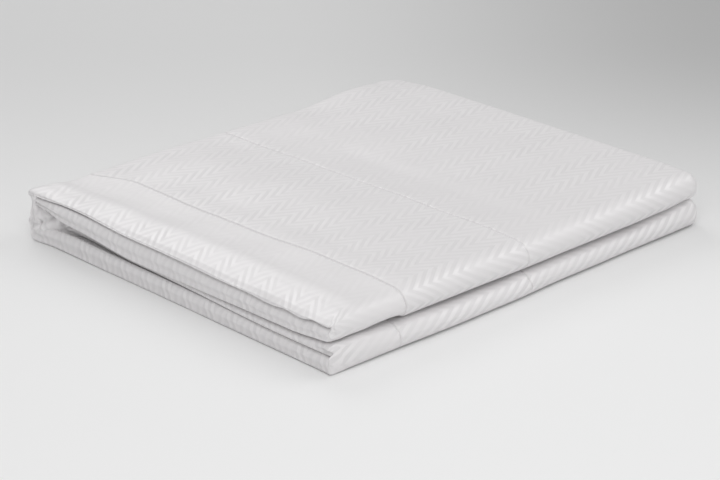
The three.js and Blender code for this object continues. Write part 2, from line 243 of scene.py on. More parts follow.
# The legs whose lips at the hem end a leg starts and ends with.
LIP_OF = {
    "upper_under": ("upper_under", "upper_under"),
    "upper_bulge": ("upper_under", "top"),
    "top": ("top", "top"),
    "spine": ("top", "bottom"),
    "bottom": ("bottom", "bottom"),
    "lower_bulge": ("bottom", "lower_upper"),
    "lower_upper": ("lower_upper", "lower_upper"),
}

# How square each lip turns in at the pad's inner and outer face: 2 is an ellipse.
LIP_SQUARENESS = {
    "upper_under": (2.5, 5),
    "top": (6, 2.2),
    "bottom": (2.5, 5),
    "lower_upper": (6, 2.4),
}

# How far each lip stands out along its face, from the pad's inner face at 0 to its outer face at 1.
LIP_SHAPE = Table(
    "part upper_under top bottom lower_upper",
    (0.00, -0.6, 1.0, -0.6, 0.3),
    (0.10, -0.5, 1.2, -0.4, 0.5),
    (0.22, -0.3, 0.1, 0.0, 0.1),
    (0.42, 0.9, -0.3, 0.6, 0.0),
    (0.55, 0.2, -0.1, 0.1, 0.0),
    (0.72, -0.9, 0.0, -0.7, 0.0),
    (0.84, -0.2, 0.0, -0.1, 0.0),
    (0.94, 1.2, 0.0, 0.8, 0.0),
    (1.00, 0.9, 0.0, 0.4, 0.0),
)
LIP_REACH = 9

# Where a bulge's turn meets the hem end, its lips are rounder.
CORNER_SQUARENESS = (2.4, 2.0)

# How the line between the upper packet's two pads rises and falls at the hem end.
HEM_WIGGLE = Table(
    "across rise",
    (-156, 0.8),
    (-146, 0.2),
    (-135, 0.8),
    (-123, -1.0),
    (-110, 0.4),
    (-97, -0.9),
    (-70, 0.2),
    (-40, -0.3),
    (10, 0.2),
    (156, 0),
)
HEM_WIGGLE_REACH = 14

# The pad's own fold.
CURL_REACH = (7, 5.8, 5.2, 4.4, 2.6)
CURL_END_DEPTH = 0.9
INNER_TURN_AT = 10
LOOSE_END_AT = 8.5
FAR_TURN_REACH = 5.6
NESTED_TURN_REACH = 2
NESTED_TURN_SETBACK = 0.6
BACK_PLACES = (318, 245, 178, 105, 42)

# Columns of the outer layer: close together at the seam and at the crease, and wider elsewhere.
SEAM_BASE = 62
SEAM_STEPS = (-6, -3.6, -2.7, -2.0, -1.4, -0.8, -0.3, 0, 0.3, 0.7, 1.2, 1.9, 3.2)
SEAM_WINDOW = (22, 112)
CREASE_BASE = 176
CREASE_STEPS = (-9, -6, -4, -2.4, -1.3, -0.5, 0.2, 0.5, 0.9, 1.8, 3.5, 6)
CREASE_WINDOW = (124, 228)
SHOULDER_PITCH = 2.2
COLUMN_PITCH = 3.3
FIRST_COLUMN_AT = 9
LAST_COLUMN_SETBACK = 3

# How much higher the hem's double cloth lies at distances from its seam, and the seam's groove.
HEM_STEP = Table(
    "at rise",
    (-14, 0.40),
    (-5, 0.38),
    (-2.0, 0.42),
    (-1.4, 0.38),
    (-0.8, 0.24),
    (-0.3, -0.25),
    (0, -0.80),
    (0.3, -0.85),
    (0.7, -0.10),
    (1.2, 0.20),
    (1.9, 0.20),
    (6, 0.0),
)


def spread(values, across):
    """The value at a place across the pack, from the five values of ACROSS."""
    across = np.asarray(across, float)
    stack = np.array(np.broadcast_arrays(*values, across)[: len(ACROSS_PLACES)], float)
    low = np.clip(np.searchsorted(ACROSS_PLACES, across, side="right") - 1, 0, len(ACROSS_PLACES) - 2)
    low = np.broadcast_to(low, stack.shape[1:])
    share = ease((across - ACROSS_PLACES[low]) / (ACROSS_PLACES[low + 1] - ACROSS_PLACES[low]))
    below = np.take_along_axis(stack, low[None], 0)[0]
    above = np.take_along_axis(stack, low[None] + 1, 0)[0]
    return mix(below, above, share)


def level(table, along, across):
    """A level at a place along the length and across the width."""
    return spread([table.read(name, along) for name in ACROSS.split()], across)


class Line:
    """A soft line of relief across the pack: its place and strength by ACROSS, and its profile."""

    def __init__(self, places, strengths, *profile):
        self.places = places
        self.strengths = strengths
        self.profile = Table("at rise", *profile)

    def rise(self, along, across):
        rise = self.profile.read("rise", along - spread(self.places, across))
        return rise * spread(self.strengths, across)


CREASE_PLACES = (177.5, 177, 176, 175.5, 175)
CREASE_PROFILE = (
    (-14, 0),
    (-5, 0.22),
    (-1.3, 0.26),
    (-0.5, 0.12),
    (0.2, -1.0),
    (0.5, -0.12),
    (0.9, 0.04),
    (1.8, 0.08),
    (6, 0.05),
    (24, -0.16),
    (44, 0),
)
LINES = (
    # The crest of the hem end's rounded shoulder, and the hollow behind it that ends at the seam.
    Line(
        (33, 32, 30, 29, 29),
        (0.3, 0.7, 1, 1, 0.9),
        (-16, 0),
        (-8, 0.46),
        (-3.5, 0.15),
        (0, -0.4),
        (3, -0.68),
        (10, -0.86),
        (18, -0.6),
        (28, -0.1),
        (32, 0),
    ),
    # The body's cloth swells past the seam.
    Line((76, 76, 71, 71, 62), (0.3, 1, 1, 0.3, 0), (-13, 0), (-7, 0.4), (-1, 0.62), (3, 0.36), (12, 0)),
    # The pack's cross crease: a sharp groove, and a broad shallow fall behind it.
    Line(CREASE_PLACES, (1.0, 1.1, 1.1, 1.0, 1.0), *CREASE_PROFILE),
    # The shallow hollow between the crease and the far end.
    Line(
        (214, 212, 210, 214, 220),
        (0.2, 1, 1, 0.6, 0.2),
        (-34, 0),
        (-14, -0.6),
        (0, -1.2),
        (16, -0.6),
        (40, 0),
    ),
    # Slack cloth in front of the far end.
    Line(
        (322, 322, 324, 326, 330),
        (0.4, 0.3, 0.5, 0.9, 1),
        (-14, 0),
        (-5, 0.22),
        (0, -0.28),
        (5, 0.18),
        (12, 0),
    ),
)

# The cloth's slow unevenness: length of each wave, its heading in degrees, its phase and its height.
WAVES = Table(
    "length heading phase height",
    (118, 24, 0.6, 0.30),
    (83, 112, 2.1, 0.24),
    (57, 67, 4.4, 0.15),
    (41, 158, 1.3, 0.09),
    (29, 35, 5.2, 0.045),
    (23, 96, 3.0, 0.035),
)
BULGE_UNFOLDED = 23
SPINE_UNFOLDED = 46


def unfolded(name, share, across):
    """The place across the cloth, carried on over the turns at the two sides of the top."""
    if name == "upper_bulge":
        return across - (1 - share) * BULGE_UNFOLDED
    if name == "spine":
        return across + share * SPINE_UNFOLDED
    if name == "lower_bulge":
        return across + share * BULGE_UNFOLDED
    return across


def unevenness(along, across):
    """The sum of the cloth's slow waves."""
    total = 0
    for length, heading, phase, height in zip(*WAVES.columns.values()):
        towards = np.radians(heading)
        total = total + height * np.sin(
            2 * math.pi * (along * np.cos(towards) + across * np.sin(towards)) / length + phase
        )
    return total


# The legs whose outer face shows, and how soon their relief fades where that face turns down.
RELIEF_LEGS = {"upper_bulge", "top", "spine", "lower_bulge"}
RELIEF_FADE = 1.2


def relief(name, share, along, across, facing):
    """How far the pad's outer face stands out, by its lines and its unevenness.

    It fades where the face turns down.
    """
    if name not in RELIEF_LEGS:
        return np.zeros_like(along)
    there = sum(line.rise(along, across) for line in LINES)
    there = there + unevenness(along, unfolded(name, share, across))
    return there * np.clip(1 + RELIEF_FADE * facing, 0, 1) * ease((LENGTH - along) / END_INSET_REACH)


class Creases:
    """Creases placed on an upright face: each runs from one place to another, as a soft trough
    where its depth is above 0 and as a ridge where it is below. Places are across the pack and above the
    surface."""

    def __init__(self, *rows):
        self.table = Table("y0 z0 y1 z1 width depth", *rows)

    def depth(self, y, z):
        total = np.zeros(np.broadcast(y, z).shape)
        columns = self.table.columns
        for y0, z0, y1, z1, width, depth in zip(*columns.values()):
            size = (y1 - y0) ** 2 + (z1 - z0) ** 2
            way = np.clip(((y - y0) * (y1 - y0) + (z - z0) * (z1 - z0)) / size, 0, 1)
            away = np.hypot(y - y0 - way * (y1 - y0), z - z0 - way * (z1 - z0))
            total += depth * np.exp(-((away / width) ** 2))
        return total


# Creases of the hem end's lips: the notch and the ear at the near corner, and the bundle at the spine.
END_CREASES = Creases(
    (-148.6, 34.0, -150.4, 27.5, 1.5, 3.2),
    (-152.6, 34.5, -153.2, 25.0, 1.3, -1.4),
    (-133.0, 31.0, -146.0, 30.4, 1.1, 1.4),
    (-143.5, 26.5, -144.5, 22.0, 1.5, -1.0),
    (-139.8, 27.0, -140.8, 21.5, 1.2, 0.9),
    (-145.6, 12.2, -150.6, 14.9, 1.3, 3.6),
    (-147.0, 17.2, -151.2, 18.2, 1.3, -1.6),
    (-152.6, 15.0, -151.8, 9.0, 1.3, -1.6),
    (-149.4, 11.0, -149.8, 2.0, 1.2, -1.0),
    (-146.0, 10.5, -146.6, 3.0, 1.7, 1.1),
    (-120.0, 24.5, -133.0, 26.5, 1.6, 0.6),
    (-76.0, 24.0, -92.0, 25.0, 1.6, -0.5),
    (146.6, 29.0, 145.2, 17.5, 1.2, -1.2),
    (151.5, 31.0, 150.2, 16.0, 1.6, 1.5),
    (158.0, 9.8, 146.0, 12.8, 1.5, 2.4),
    (141.8, 11.6, 138.4, 7.0, 1.2, -1.0),
    (150.5, 7.5, 144.5, 4.6, 1.1, 1.2),
    (136.0, 10.5, 134.0, 6.0, 1.3, 0.8),
)

# The cloth tucked into the open corner beside the spine: how far it lies behind the hem end at places
# across the pack, and its creases.
TUCK_DEPTH = Table("across depth", (92, 34), (104, 20), (116, 11), (128, 7), (138, 4.5), (152, 2.6))
TUCK_CREASES = Creases(
    (158.0, 9.8, 146.3, 13.0, 1.6, 2.0),
    (146.3, 13.0, 131.0, 22.3, 1.8, 2.5),
    (140.3, 29.0, 134.0, 23.0, 3.5, 5.0),
    (146.7, 30.0, 145.0, 18.0, 1.3, -1.8),
    (141.0, 13.0, 124.0, 21.0, 6.0, -2.2),
    (117.0, 24.7, 125.0, 15.5, 1.3, 2.6),
    (112.0, 22.0, 102.0, 20.0, 4.0, -2.0),
    (124.0, 12.8, 96.0, 17.0, 1.4, 3.0),
    (141.7, 11.8, 138.6, 8.3, 1.3, -1.4),
    (151.5, 31.0, 149.8, 16.0, 1.5, 1.2),
)
TUCK_FROM, TUCK_TO = 92, 152
TUCK_FOOT, TUCK_HEAD = 4, 33
TUCK_PITCH = 0.7
TUCK_THICKNESS = 1.2


def turn(centre, angle, out, up, down, roundness):
    """A ray of a turn, from a small round core to a rounded box of the given reach."""
    cos, sin = np.cos(angle), np.sin(angle)
    power = 2 / np.where(sin > 0, roundness[0], roundness[1])
    tall = np.where(sin > 0, up, down)
    outer_y = centre[0] + out * np.sign(cos) * np.abs(cos) ** power
    outer_z = centre[1] + tall * np.sign(sin) * np.abs(sin) ** power
    return centre[0] + INNER_RADIUS * cos, centre[1] + INNER_RADIUS * sin, outer_y, outer_z


def bulge_centre(along, which):
    """Where the middle of a bulge's turn lies across the pack."""
    return -WIDTH / 2 + BULGE_SHAPE.read(which + "_inset", along) + BULGE_SHAPE.read(which + "_nose", along)


SPINE_INSIDE = WIDTH / 2 - SPINE_THICKNESS
SPINE_CORNER = SPINE_INSIDE - INNER_RADIUS
FREE_END = SPINE_INSIDE - SPINE_GAP


def upper_pinch(along, across):
    """The level at which the upper packet's two pads touch."""
    wiggle = HEM_WIGGLE.read("rise", across, "across")
    return level(UPPER_PINCH, along, across) + wiggle * (1 - ease(along / HEM_WIGGLE_REACH))


def flat_leg(across, pinch, pinch_side, outer):
    """A leg that lies level: its inner face at the pinch and its outer face at a level."""
    return across, across, pinch + pinch_side * INNER_RADIUS, across, outer


def upper_under(share, along):
    across = mix(FREE_END, bulge_centre(along, "upper"), share)
    return flat_leg(across, upper_pinch(along, across), -1, level(UPPER_BASE, along, across))


def upper_bulge(share, along):
    across = bulge_centre(along, "upper")
    pinch = upper_pinch(along, across)
    up = level(TOP_LEVEL, along, across) - pinch
    down = pinch - level(UPPER_BASE, along, across)
    angle = mix(3 * QUARTER, QUARTER, share)
    out = BULGE_SHAPE.read("upper_nose", along)
    return (across, *turn((across, pinch), angle, out, up, down, UPPER_ROUNDNESS))


def top(share, along):
    across = mix(bulge_centre(along, "upper"), SPINE_CORNER, share)
    return flat_leg(across, upper_pinch(along, across), 1, level(TOP_LEVEL, along, across))


SPINE_TURN_SHARE = 0.35


def spine(share, along):
    across = np.full_like(along, SPINE_CORNER)
    upper = upper_pinch(along, across)
    lower = level(LOWER_PINCH, along, across)
    height = level(TOP_LEVEL, along, across)
    above = np.clip(1 - share / SPINE_TURN_SHARE, 0, 1)
    below = np.clip(1 - (1 - share) / SPINE_TURN_SHARE, 0, 1)
    middle = mix(upper, lower, np.clip((share - SPINE_TURN_SHARE) / (1 - 2 * SPINE_TURN_SHARE), 0, 1))
    angle = QUARTER * (above - below)
    reach = WIDTH / 2 - SPINE_CORNER
    inner_y, inner_z, outer_y, outer_z = turn(
        (across, middle), angle, reach, height - upper, lower, SPINE_ROUNDNESS
    )
    lobe = mix(
        SPINE_LOBES.read("elsewhere", outer_z / height, "share"),
        SPINE_LOBES.read("hem_end", outer_z / height, "share"),
        1 - ease(along / SPINE_END_REACH),
    )
    return across, inner_y, inner_z, outer_y + lobe * (outer_y - SPINE_CORNER) / reach, outer_z


def bottom(share, along):
    across = mix(SPINE_CORNER, bulge_centre(along, "lower"), share)
    rim = level(RIM_RISE, along, across)
    return flat_leg(across, level(LOWER_PINCH, along, across) + rim, -1, np.zeros_like(along))


def lower_bulge(share, along):
    across = bulge_centre(along, "lower")
    pinch = level(LOWER_PINCH, along, across)
    up = level(LOWER_TOP, along, across) - pinch
    angle = mix(3 * QUARTER, QUARTER, share)
    out = BULGE_SHAPE.read("lower_nose", along)
    return (across, *turn((across, pinch), angle, out, up, pinch, LOWER_ROUNDNESS))


def lower_upper(share, along):
    across = mix(bulge_centre(along, "lower"), FREE_END, share)
    return flat_leg(across, level(LOWER_PINCH, along, across), 1, level(LOWER_TOP, along, across))


LEGS = {
    "upper_under": upper_under,
    "upper_bulge": upper_bulge,
    "top": top,
    "spine": spine,
    "bottom": bottom,
    "lower_bulge": lower_bulge,
    "lower_upper": lower_upper,
}


def stations():
    """Each leg's name and the shares of its stations, with the legs' shared ends once."""
    runs = []
    for order, (name, steps) in enumerate(LEG_STEPS.items()):
        shares = np.linspace(0, 1, steps + 1)
        runs.append((name, shares[1:] if order else shares))
    return runs


def arc(centre, reach, start, end, steps):
    """A turn of the cloth in the pad, as places along and depths, for every station."""
    angle = np.linspace(start, end, steps + 1)
    middle_along, middle_depth, reach_along, reach_depth = (
        np.reshape(value, (-1, 1)) for value in (*centre, *reach)
    )
    return middle_along + reach_along * np.cos(angle), middle_depth + reach_depth * np.sin(angle)


LIP_SAMPLES = 181


def lip_arc(reach, half, squareness, steps):
    """The hem's curl round the pad's end, as evenly spaced distances out and up from its middle."""
    angle = np.linspace(-QUARTER, QUARTER, LIP_SAMPLES)
    outs, ups = [], []
    for out_reach, inner, outer in zip(reach, *squareness):
        power = 2 / np.where(angle > 0, outer, inner)
        out = out_reach * np.abs(np.cos(angle)) ** power
        up = half * np.sign(angle) * np.abs(np.sin(angle)) ** power
        run = np.concatenate([[0], np.cumsum(np.hypot(np.diff(out), np.diff(up)))])
        stops = np.linspace(0, run[-1], steps + 1)
        outs.append(np.interp(stops, run, out))
        ups.append(np.interp(stops, run, up))
    return np.array(outs), np.array(ups)


def outer_columns():
    """Places of the outer layer's columns, before the wander of the seam and the crease is added."""
    first, last = FIRST_COLUMN_AT, LENGTH - FAR_TURN_REACH - LAST_COLUMN_SETBACK
    seam = [SEAM_BASE + step for step in SEAM_STEPS]
    crease = [CREASE_BASE + step for step in CREASE_STEPS]
    stretches = [
        (first, seam[0], SHOULDER_PITCH),
        (seam[-1], crease[0], COLUMN_PITCH),
        (crease[-1], last, COLUMN_PITCH),
    ]
    runs = [np.linspace(a, b, round((b - a) / pitch) + 1) for a, b, pitch in stretches]
    return np.concatenate([runs[0][:-1], seam, runs[1][1:-1], crease, runs[2][1:]])


def wander(base, middle, window, target):
    """How far the columns around a line move, so that the line follows its place at every station."""
    near = ease((base - window[0]) / (middle - window[0])) * ease((window[1] - base) / (window[1] - middle))
    return (target - middle)[:, None] * near


class PadPath:
    """The path of the cloth's middle in the pad, for every station across the pack.

    Depth is 0 at the pad's inner face and PAD_THICKNESS at its outer face. The cloth starts at the
    hem's edge, which curls round the pad's end, runs out on the outer face, turns to the inner face at
    the far end, comes back, turns inwards, and goes out and back once more between those two layers.
    """

    curl_steps = 18
    far_steps = 10
    nested_steps = 4

    def __init__(self, across, lower, squareness, thickness):
        pitch = (PAD_THICKNESS - thickness) / (LAYERS_IN_PAD - 1)
        outer, second, third, inner = (
            PAD_THICKNESS - thickness / 2 - pitch * layer for layer in range(LAYERS_IN_PAD)
        )
        seam = spread(SEAM_PLACE, across) + lower * LOWER_SEAM_SHIFT
        curl = spread(CURL_REACH, across)
        count = len(across)
        far_turn = LENGTH - thickness / 2 - FAR_TURN_REACH
        nested_turn = far_turn - NESTED_TURN_SETBACK
        base = outer_columns()
        moved = wander(base, SEAM_BASE, SEAM_WINDOW, seam)
        moved = moved + wander(base, CREASE_BASE, CREASE_WINDOW, spread(CREASE_PLACES, across))
        small = (third - inner) / 2
        out, up = lip_arc(curl, (outer - CURL_END_DEPTH) / 2, squareness, self.curl_steps)
        runs = [
            (thickness / 2 + curl[:, None] - out, (outer + CURL_END_DEPTH) / 2 + up),
            (base + moved, outer),
            arc(
                (far_turn, (outer + inner) / 2),
                (FAR_TURN_REACH, (outer - inner) / 2),
                QUARTER,
                -QUARTER,
                self.far_steps,
            ),
            (np.array(BACK_PLACES, float), inner),
            arc((INNER_TURN_AT, inner + small), (small, small), 3 * QUARTER, QUARTER, self.nested_steps),
            (np.array(BACK_PLACES[::-1], float), third),
            arc(
                (nested_turn, (second + third) / 2),
                (NESTED_TURN_REACH, small),
                -QUARTER,
                QUARTER,
                self.nested_steps,
            ),
            (np.array(BACK_PLACES + (LOOSE_END_AT,), float), second),
        ]
        spreads = []
        for along, depth in runs:
            along = np.broadcast_to(along, (count, np.shape(along)[-1]))
            spreads.append((along, np.broadcast_to(depth, along.shape)))
        self.along = np.concatenate([along for along, _ in spreads], 1)
        self.depth = np.concatenate([depth for _, depth in spreads], 1)
        self.outer_start = self.curl_steps + 1
        self.seam_column = self.outer_start + int(np.flatnonzero(base == SEAM_BASE)[0])
        self.outer_end = self.outer_start + len(base)
        self.seam = seam

    def normals(self):
        """Unit normals of the path, to the left of its direction."""
        run = np.gradient(self.along, axis=1)
        rise = np.gradient(self.depth, axis=1)
        size = np.hypot(run, rise)
        return -rise / size, run / size


def end_shift(name, across, along):
    """How far the fold moves along X at a place, so that the legs' ends stand in or out."""
    near_hem = 1 - ease(along / END_INSET_REACH)
    near_far = 1 - ease((LENGTH - along) / END_INSET_REACH)
    return spread(HEM_INSETS[name], across) * near_hem - spread(FAR_INSETS[name], across) * near_far


def round_far_corner(x, y):
    """The far corners are round in plan: the sides bend onto a quarter circle in each corner's square."""
    radius = np.where(y < 0, BULGE_CORNER_RADIUS, SPINE_CORNER_RADIUS)
    a = np.clip((x - LENGTH / 2 + radius) / radius, 0, None)
    b = np.clip((np.abs(y) - WIDTH / 2 + radius) / radius, 0, None)
    there = (a > 0) & (b > 0)
    new_x = x + radius * a * (np.sqrt(np.clip(1 - b * b / 2, 0, 1)) - 1)
    new_y = y + np.sign(y) * radius * b * (np.sqrt(np.clip(1 - a * a / 2, 0, 1)) - 1)
    return np.where(there, new_x, x), np.where(there, new_y, y)


# How round the near corner is in plan, at heights over the surface: the upper packet's foot is cut back.
NEAR_CORNER = Table(
    "height radius",
    (0, 2.5),
    (14, 2.8),
    (20.3, 4),
    (21.4, 12),
    (25, 9),
    (31, 3.5),
    (40, 3.5),
)


def round_near_corner(x, y, z):
    """The near corner is round in plan, by a radius that changes with the height."""
    radius = NEAR_CORNER.read("radius", z, "height")
    a = np.clip((radius - x - LENGTH / 2) / radius, 0, 1)
    b = np.clip((radius - y - WIDTH / 2) / radius, 0, 1)
    return x + radius * a * (1 - np.sqrt(1 - b * b / 2)), y + radius * b * (1 - np.sqrt(1 - a * a / 2))


def place(name, share, along, depth):
    """Points of the pack, from a leg, a share of its way, a place along the pack and a depth in the pad."""
    within = np.clip(along, 0, LENGTH)
    across, inner_y, inner_z, outer_y, outer_z = LEGS[name](share, within)
    part = depth / PAD_THICKNESS
    tall = np.hypot(outer_y - inner_y, outer_z - inner_z)
    facing = (outer_z - inner_z) / tall
    stretch = 1 + relief(name, share, within, across, facing) / tall
    y = inner_y + (outer_y - inner_y) * part * stretch
    z = inner_z + (outer_z - inner_z) * part * stretch
    x = along - LENGTH / 2 + end_shift(name, across, within)
    first, last = LIP_OF[name]
    lip = mix(LIP_SHAPE.read(first, part, "part"), LIP_SHAPE.read(last, part, "part"), share)
    x = x + (END_CREASES.depth(y, z) - lip) * (1 - ease(within / LIP_REACH))
    x, y = round_near_corner(*round_far_corner(x, y), z)
    return np.stack([x, y, z], -1)


# Where the slope of the pad's faces is read along the pack: the middle of the hem.
HEM_MIDDLE = 32


def facing_up(name, share):
    """How much the pad's outer face looks up or sideways, from 0 where it faces down to 1."""
    _, inner_y, inner_z, outer_y, outer_z = LEGS[name](share, np.full_like(share, HEM_MIDDLE))
    rise = (outer_z - inner_z) / np.hypot(outer_y - inner_y, outer_z - inner_z)
    return np.clip(1 + rise, 0, 1)


class Cloth:
    """The folded cloth as a grid: stations across the pack by columns along the cloth, on two sides."""

    def __init__(self, thickness):
        runs = stations()
        across, lower, squareness = [], [], []
        for name, shares in runs:
            across.append(LEGS[name](shares, np.full_like(shares, HEM_MIDDLE))[0])
            lower.append(shares if name == "spine" else np.full_like(shares, name in LOWER_LEGS))
            first, last = (np.array(LIP_SQUARENESS[leg], float)[:, None] for leg in LIP_OF[name])
            soft = np.sin(math.pi * shares) if name.endswith("bulge") else 0 * shares
            corner = np.array(CORNER_SQUARENESS)[:, None]
            squareness.append(mix(mix(first, last, shares), corner, soft))
        self.path = PadPath(
            np.concatenate(across), np.concatenate(lower), np.concatenate(squareness, 1), thickness
        )
        left_along, left_depth = self.path.normals()
        step = HEM_STEP.read("rise", self.path.along - self.path.seam[:, None])
        step[:, self.path.outer_end :] = 0
        self.sides = []
        for side in (1, -1):
            points, first = [], 0
            for name, shares in runs:
                rows = slice(first, first + len(shares))
                first = rows.stop
                share = shares[:, None]
                lift = side * thickness / 2
                if side > 0:
                    lift = lift + step[rows] * facing_up(name, share)
                along = self.path.along[rows] + lift * left_along[rows]
                depth = self.path.depth[rows] + lift * left_depth[rows]
                points.append(place(name, share, along, depth))
            self.sides.append(np.concatenate(points))
        self.rows, self.columns = self.path.along.shape
        self.names = [name for name, shares in runs for _ in shares]
        self.fit_to_frame()

    def fit_to_frame(self):
        """Centres the cloth on its node's box, in metres."""
        low, high = (np.array(corner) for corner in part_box(SHEET_NODE))
        points = np.concatenate([side.reshape(-1, 3) for side in self.sides]) * MM
        shift = (low + high - points.min(0) - points.max(0)) / 2
        shift[2] = low[2] - points[:, 2].min()
        self.sides = [side * MM + shift for side in self.sides]
        self.shift = shift

    def lengths(self):
        """Where each grid point lies on the unfolded cloth, in metres: along it and across it."""
        middle = (self.sides[0] + self.sides[1]) / 2
        steps_along = np.linalg.norm(np.diff(middle, axis=1), axis=2).mean(0)
        along = np.concatenate([[0], np.cumsum(steps_along)])
        # Widths across are measured on one column behind the crease.
        reference = self.path.outer_start + 2 * (self.path.outer_end - self.path.outer_start) // 3
        steps_across = np.linalg.norm(np.diff(self.sides[0][:, reference], axis=0), axis=1)
        across = np.concatenate([[0], np.cumsum(steps_across)])
        return along, across - across[self.names.index("top")]


def grid_faces(rows, columns):
    """Four-sided faces of a sheet with two sides of rows by columns, and of the edges between them."""
    front, back = np.arange(2 * rows * columns).reshape(2, rows, columns)

    def strip(a, b, c, d):
        return np.stack([a, b, c, d], -1).reshape(-1, 4)

    return np.concatenate(
        [
            strip(front[:-1, :-1], front[:-1, 1:], front[1:, 1:], front[1:, :-1]),
            strip(back[:-1, :-1], back[1:, :-1], back[1:, 1:], back[:-1, 1:]),
            strip(front[0, :-1], back[0, :-1], back[0, 1:], front[0, 1:]),
            strip(front[-1, :-1], front[-1, 1:], back[-1, 1:], back[-1, :-1]),
            strip(front[:-1, 0], front[1:, 0], back[1:, 0], back[:-1, 0]),
            strip(front[:-1, -1], back[:-1, -1], back[1:, -1], front[1:, -1]),
        ]
    )


def tucked_cloth(shift):
    """The tucked cloth's points, in metres, and its places on the cloth."""
    across = np.arange(TUCK_FROM, TUCK_TO, TUCK_PITCH)
    up = np.arange(TUCK_FOOT, TUCK_HEAD, TUCK_PITCH)
    y, z = np.meshgrid(across, up, indexing="ij")
    x = TUCK_DEPTH.read("depth", y, "across") + TUCK_CREASES.depth(y, z) - LENGTH / 2
    front = np.stack([x, y, z], -1)
    sides = np.stack([front, front + (TUCK_THICKNESS, 0, 0)]) * MM + shift
    uv = np.stack([z, y], -1) * MM
    return sides, np.stack([uv, uv])


# The hem's stitches, in millimetres: rounded threads of six sides that lie half in the cloth.
STITCHED_LEGS = ("upper_bulge", "top", "spine", "lower_bulge")
STITCH_LENGTH = 2.4
STITCH_GAP = 0.5
STITCH_RADIUS = 0.15
STITCH_SINK = 0.15
STITCH_RINGS = 7
STITCH_SIDES = 6
STITCH_CAPS = ([0, 1, 2, 3], [0, 3, 4, 5])
STITCH_FULLNESS = 1.1
STITCH_END_POWER = 4
LOWEST_STITCH = 0.4


def run_along(points):
    """Distances along a line, at its points."""
    return np.concatenate([[0], np.cumsum(np.linalg.norm(np.diff(points, axis=0), axis=1))])


def read_along(values, run, stops):
    """A line's values at distances along it."""
    return np.stack([np.interp(stops, run, column) for column in values.T], -1)


def stitches_on(cloth, leg):
    """The stitches of the hem on one leg of the fold: points and faces of one closed thread a stitch."""
    rows = [row for row, name in enumerate(cloth.names) if name == leg]
    outer, inner = (side[rows, cloth.path.seam_column] / MM for side in cloth.sides)
    normals = (outer - inner) / np.linalg.norm(outer - inner, axis=1)[:, None]
    run = run_along(outer)
    starts = np.arange(0, run[-1] - STITCH_LENGTH, STITCH_LENGTH + STITCH_GAP)
    part = np.linspace(0, 1, STITCH_RINGS)
    stops = starts[:, None] + part * STITCH_LENGTH
    centre, normal = read_along(outer, run, stops), read_along(normals, run, stops)
    tangent = np.gradient(centre, axis=1)
    tangent /= np.linalg.norm(tangent, axis=2)[..., None]
    beside = np.cross(tangent, normal)
    fullness = np.sqrt(STITCH_FULLNESS - (2 * part - 1) ** STITCH_END_POWER)[None, :, None]
    centre = centre + normal * (STITCH_SINK * (fullness - 1))
    angle = np.arange(STITCH_SIDES) * 2 * math.pi / STITCH_SIDES
    ring = beside[:, :, None] * np.cos(angle)[:, None] + normal[:, :, None] * np.sin(angle)[:, None]
    points = centre[:, :, None] + ring * (STITCH_RADIUS * fullness[..., None])
    points = points[points[..., 2].min((1, 2)) > LOWEST_STITCH]
    at = np.arange(points[..., 0].size).reshape(points.shape[:3])
    around = np.roll(at, -1, 2)
    walls = np.stack([at[:, :-1], at[:, 1:], around[:, 1:], around[:, :-1]], -1)
    first, last = at[:, 0], at[:, -1, ::-1]
    caps = [end[:, corners] for end in (first, last) for corners in STITCH_CAPS]
    faces = np.concatenate([walls.reshape(-1, 4), *caps])
    return points.reshape(-1, 3) * MM, faces


SMOOTH_UP_TO = math.radians(62)


def mesh_object(name, vertices, faces, uvs=None):
    """A smooth mesh object at the origin, from arrays of points and faces."""
    mesh = bpy.data.meshes.new(name)
    mesh.from_pydata(vertices.tolist(), [], faces.tolist())
    if uvs is not None:
        layer = mesh.uv_layers.new(name="cloth")
        layer.data.foreach_set("uv", uvs.astype(np.float32).ravel())
    mesh.update()
    piece = bpy.data.objects.new(name, mesh)
    bpy.context.scene.collection.objects.link(piece)
    bpy.ops.object.select_all(action="DESELECT")
    piece.select_set(True)
    bpy.context.view_layer.objects.active = piece
    bpy.ops.object.shade_smooth_by_angle(angle=SMOOTH_UP_TO)
    return piece


class Value:
    """A number's socket in a material, with the arithmetic that adds its Math nodes."""

    def __init__(self, look, socket):
        self.look = look
        self.socket = socket

    def math(self, operation, *others):
        return self.look.node("ShaderNodeMath", {"operation": operation}, self, *others)[0]

    def __add__(self, other):
        return self.math("ADD", other)

    def __sub__(self, other):
        return self.math("SUBTRACT", other)

    def __rsub__(self, other):
        return self.look.node("ShaderNodeMath", {"operation": "SUBTRACT"}, other, self)[0]

    def __mul__(self, other):
        return self.math("MULTIPLY", other)

    def __truediv__(self, other):
        return self.math("DIVIDE", other)

    __radd__ = __add__
    __rmul__ = __mul__

    def ramp(self, start, end, low=0.0, high=1.0):
        """A smooth step from a low value to a high one, as this value goes from start to end."""
        settings = {"interpolation_type": "SMOOTHSTEP"}
        return self.look.node("ShaderNodeMapRange", settings, self, start, end, low, high)[0]


def mix_values(share, low, high):
    """A value between two others, by a share that varies over the surface."""
    return share * (high - low) + low


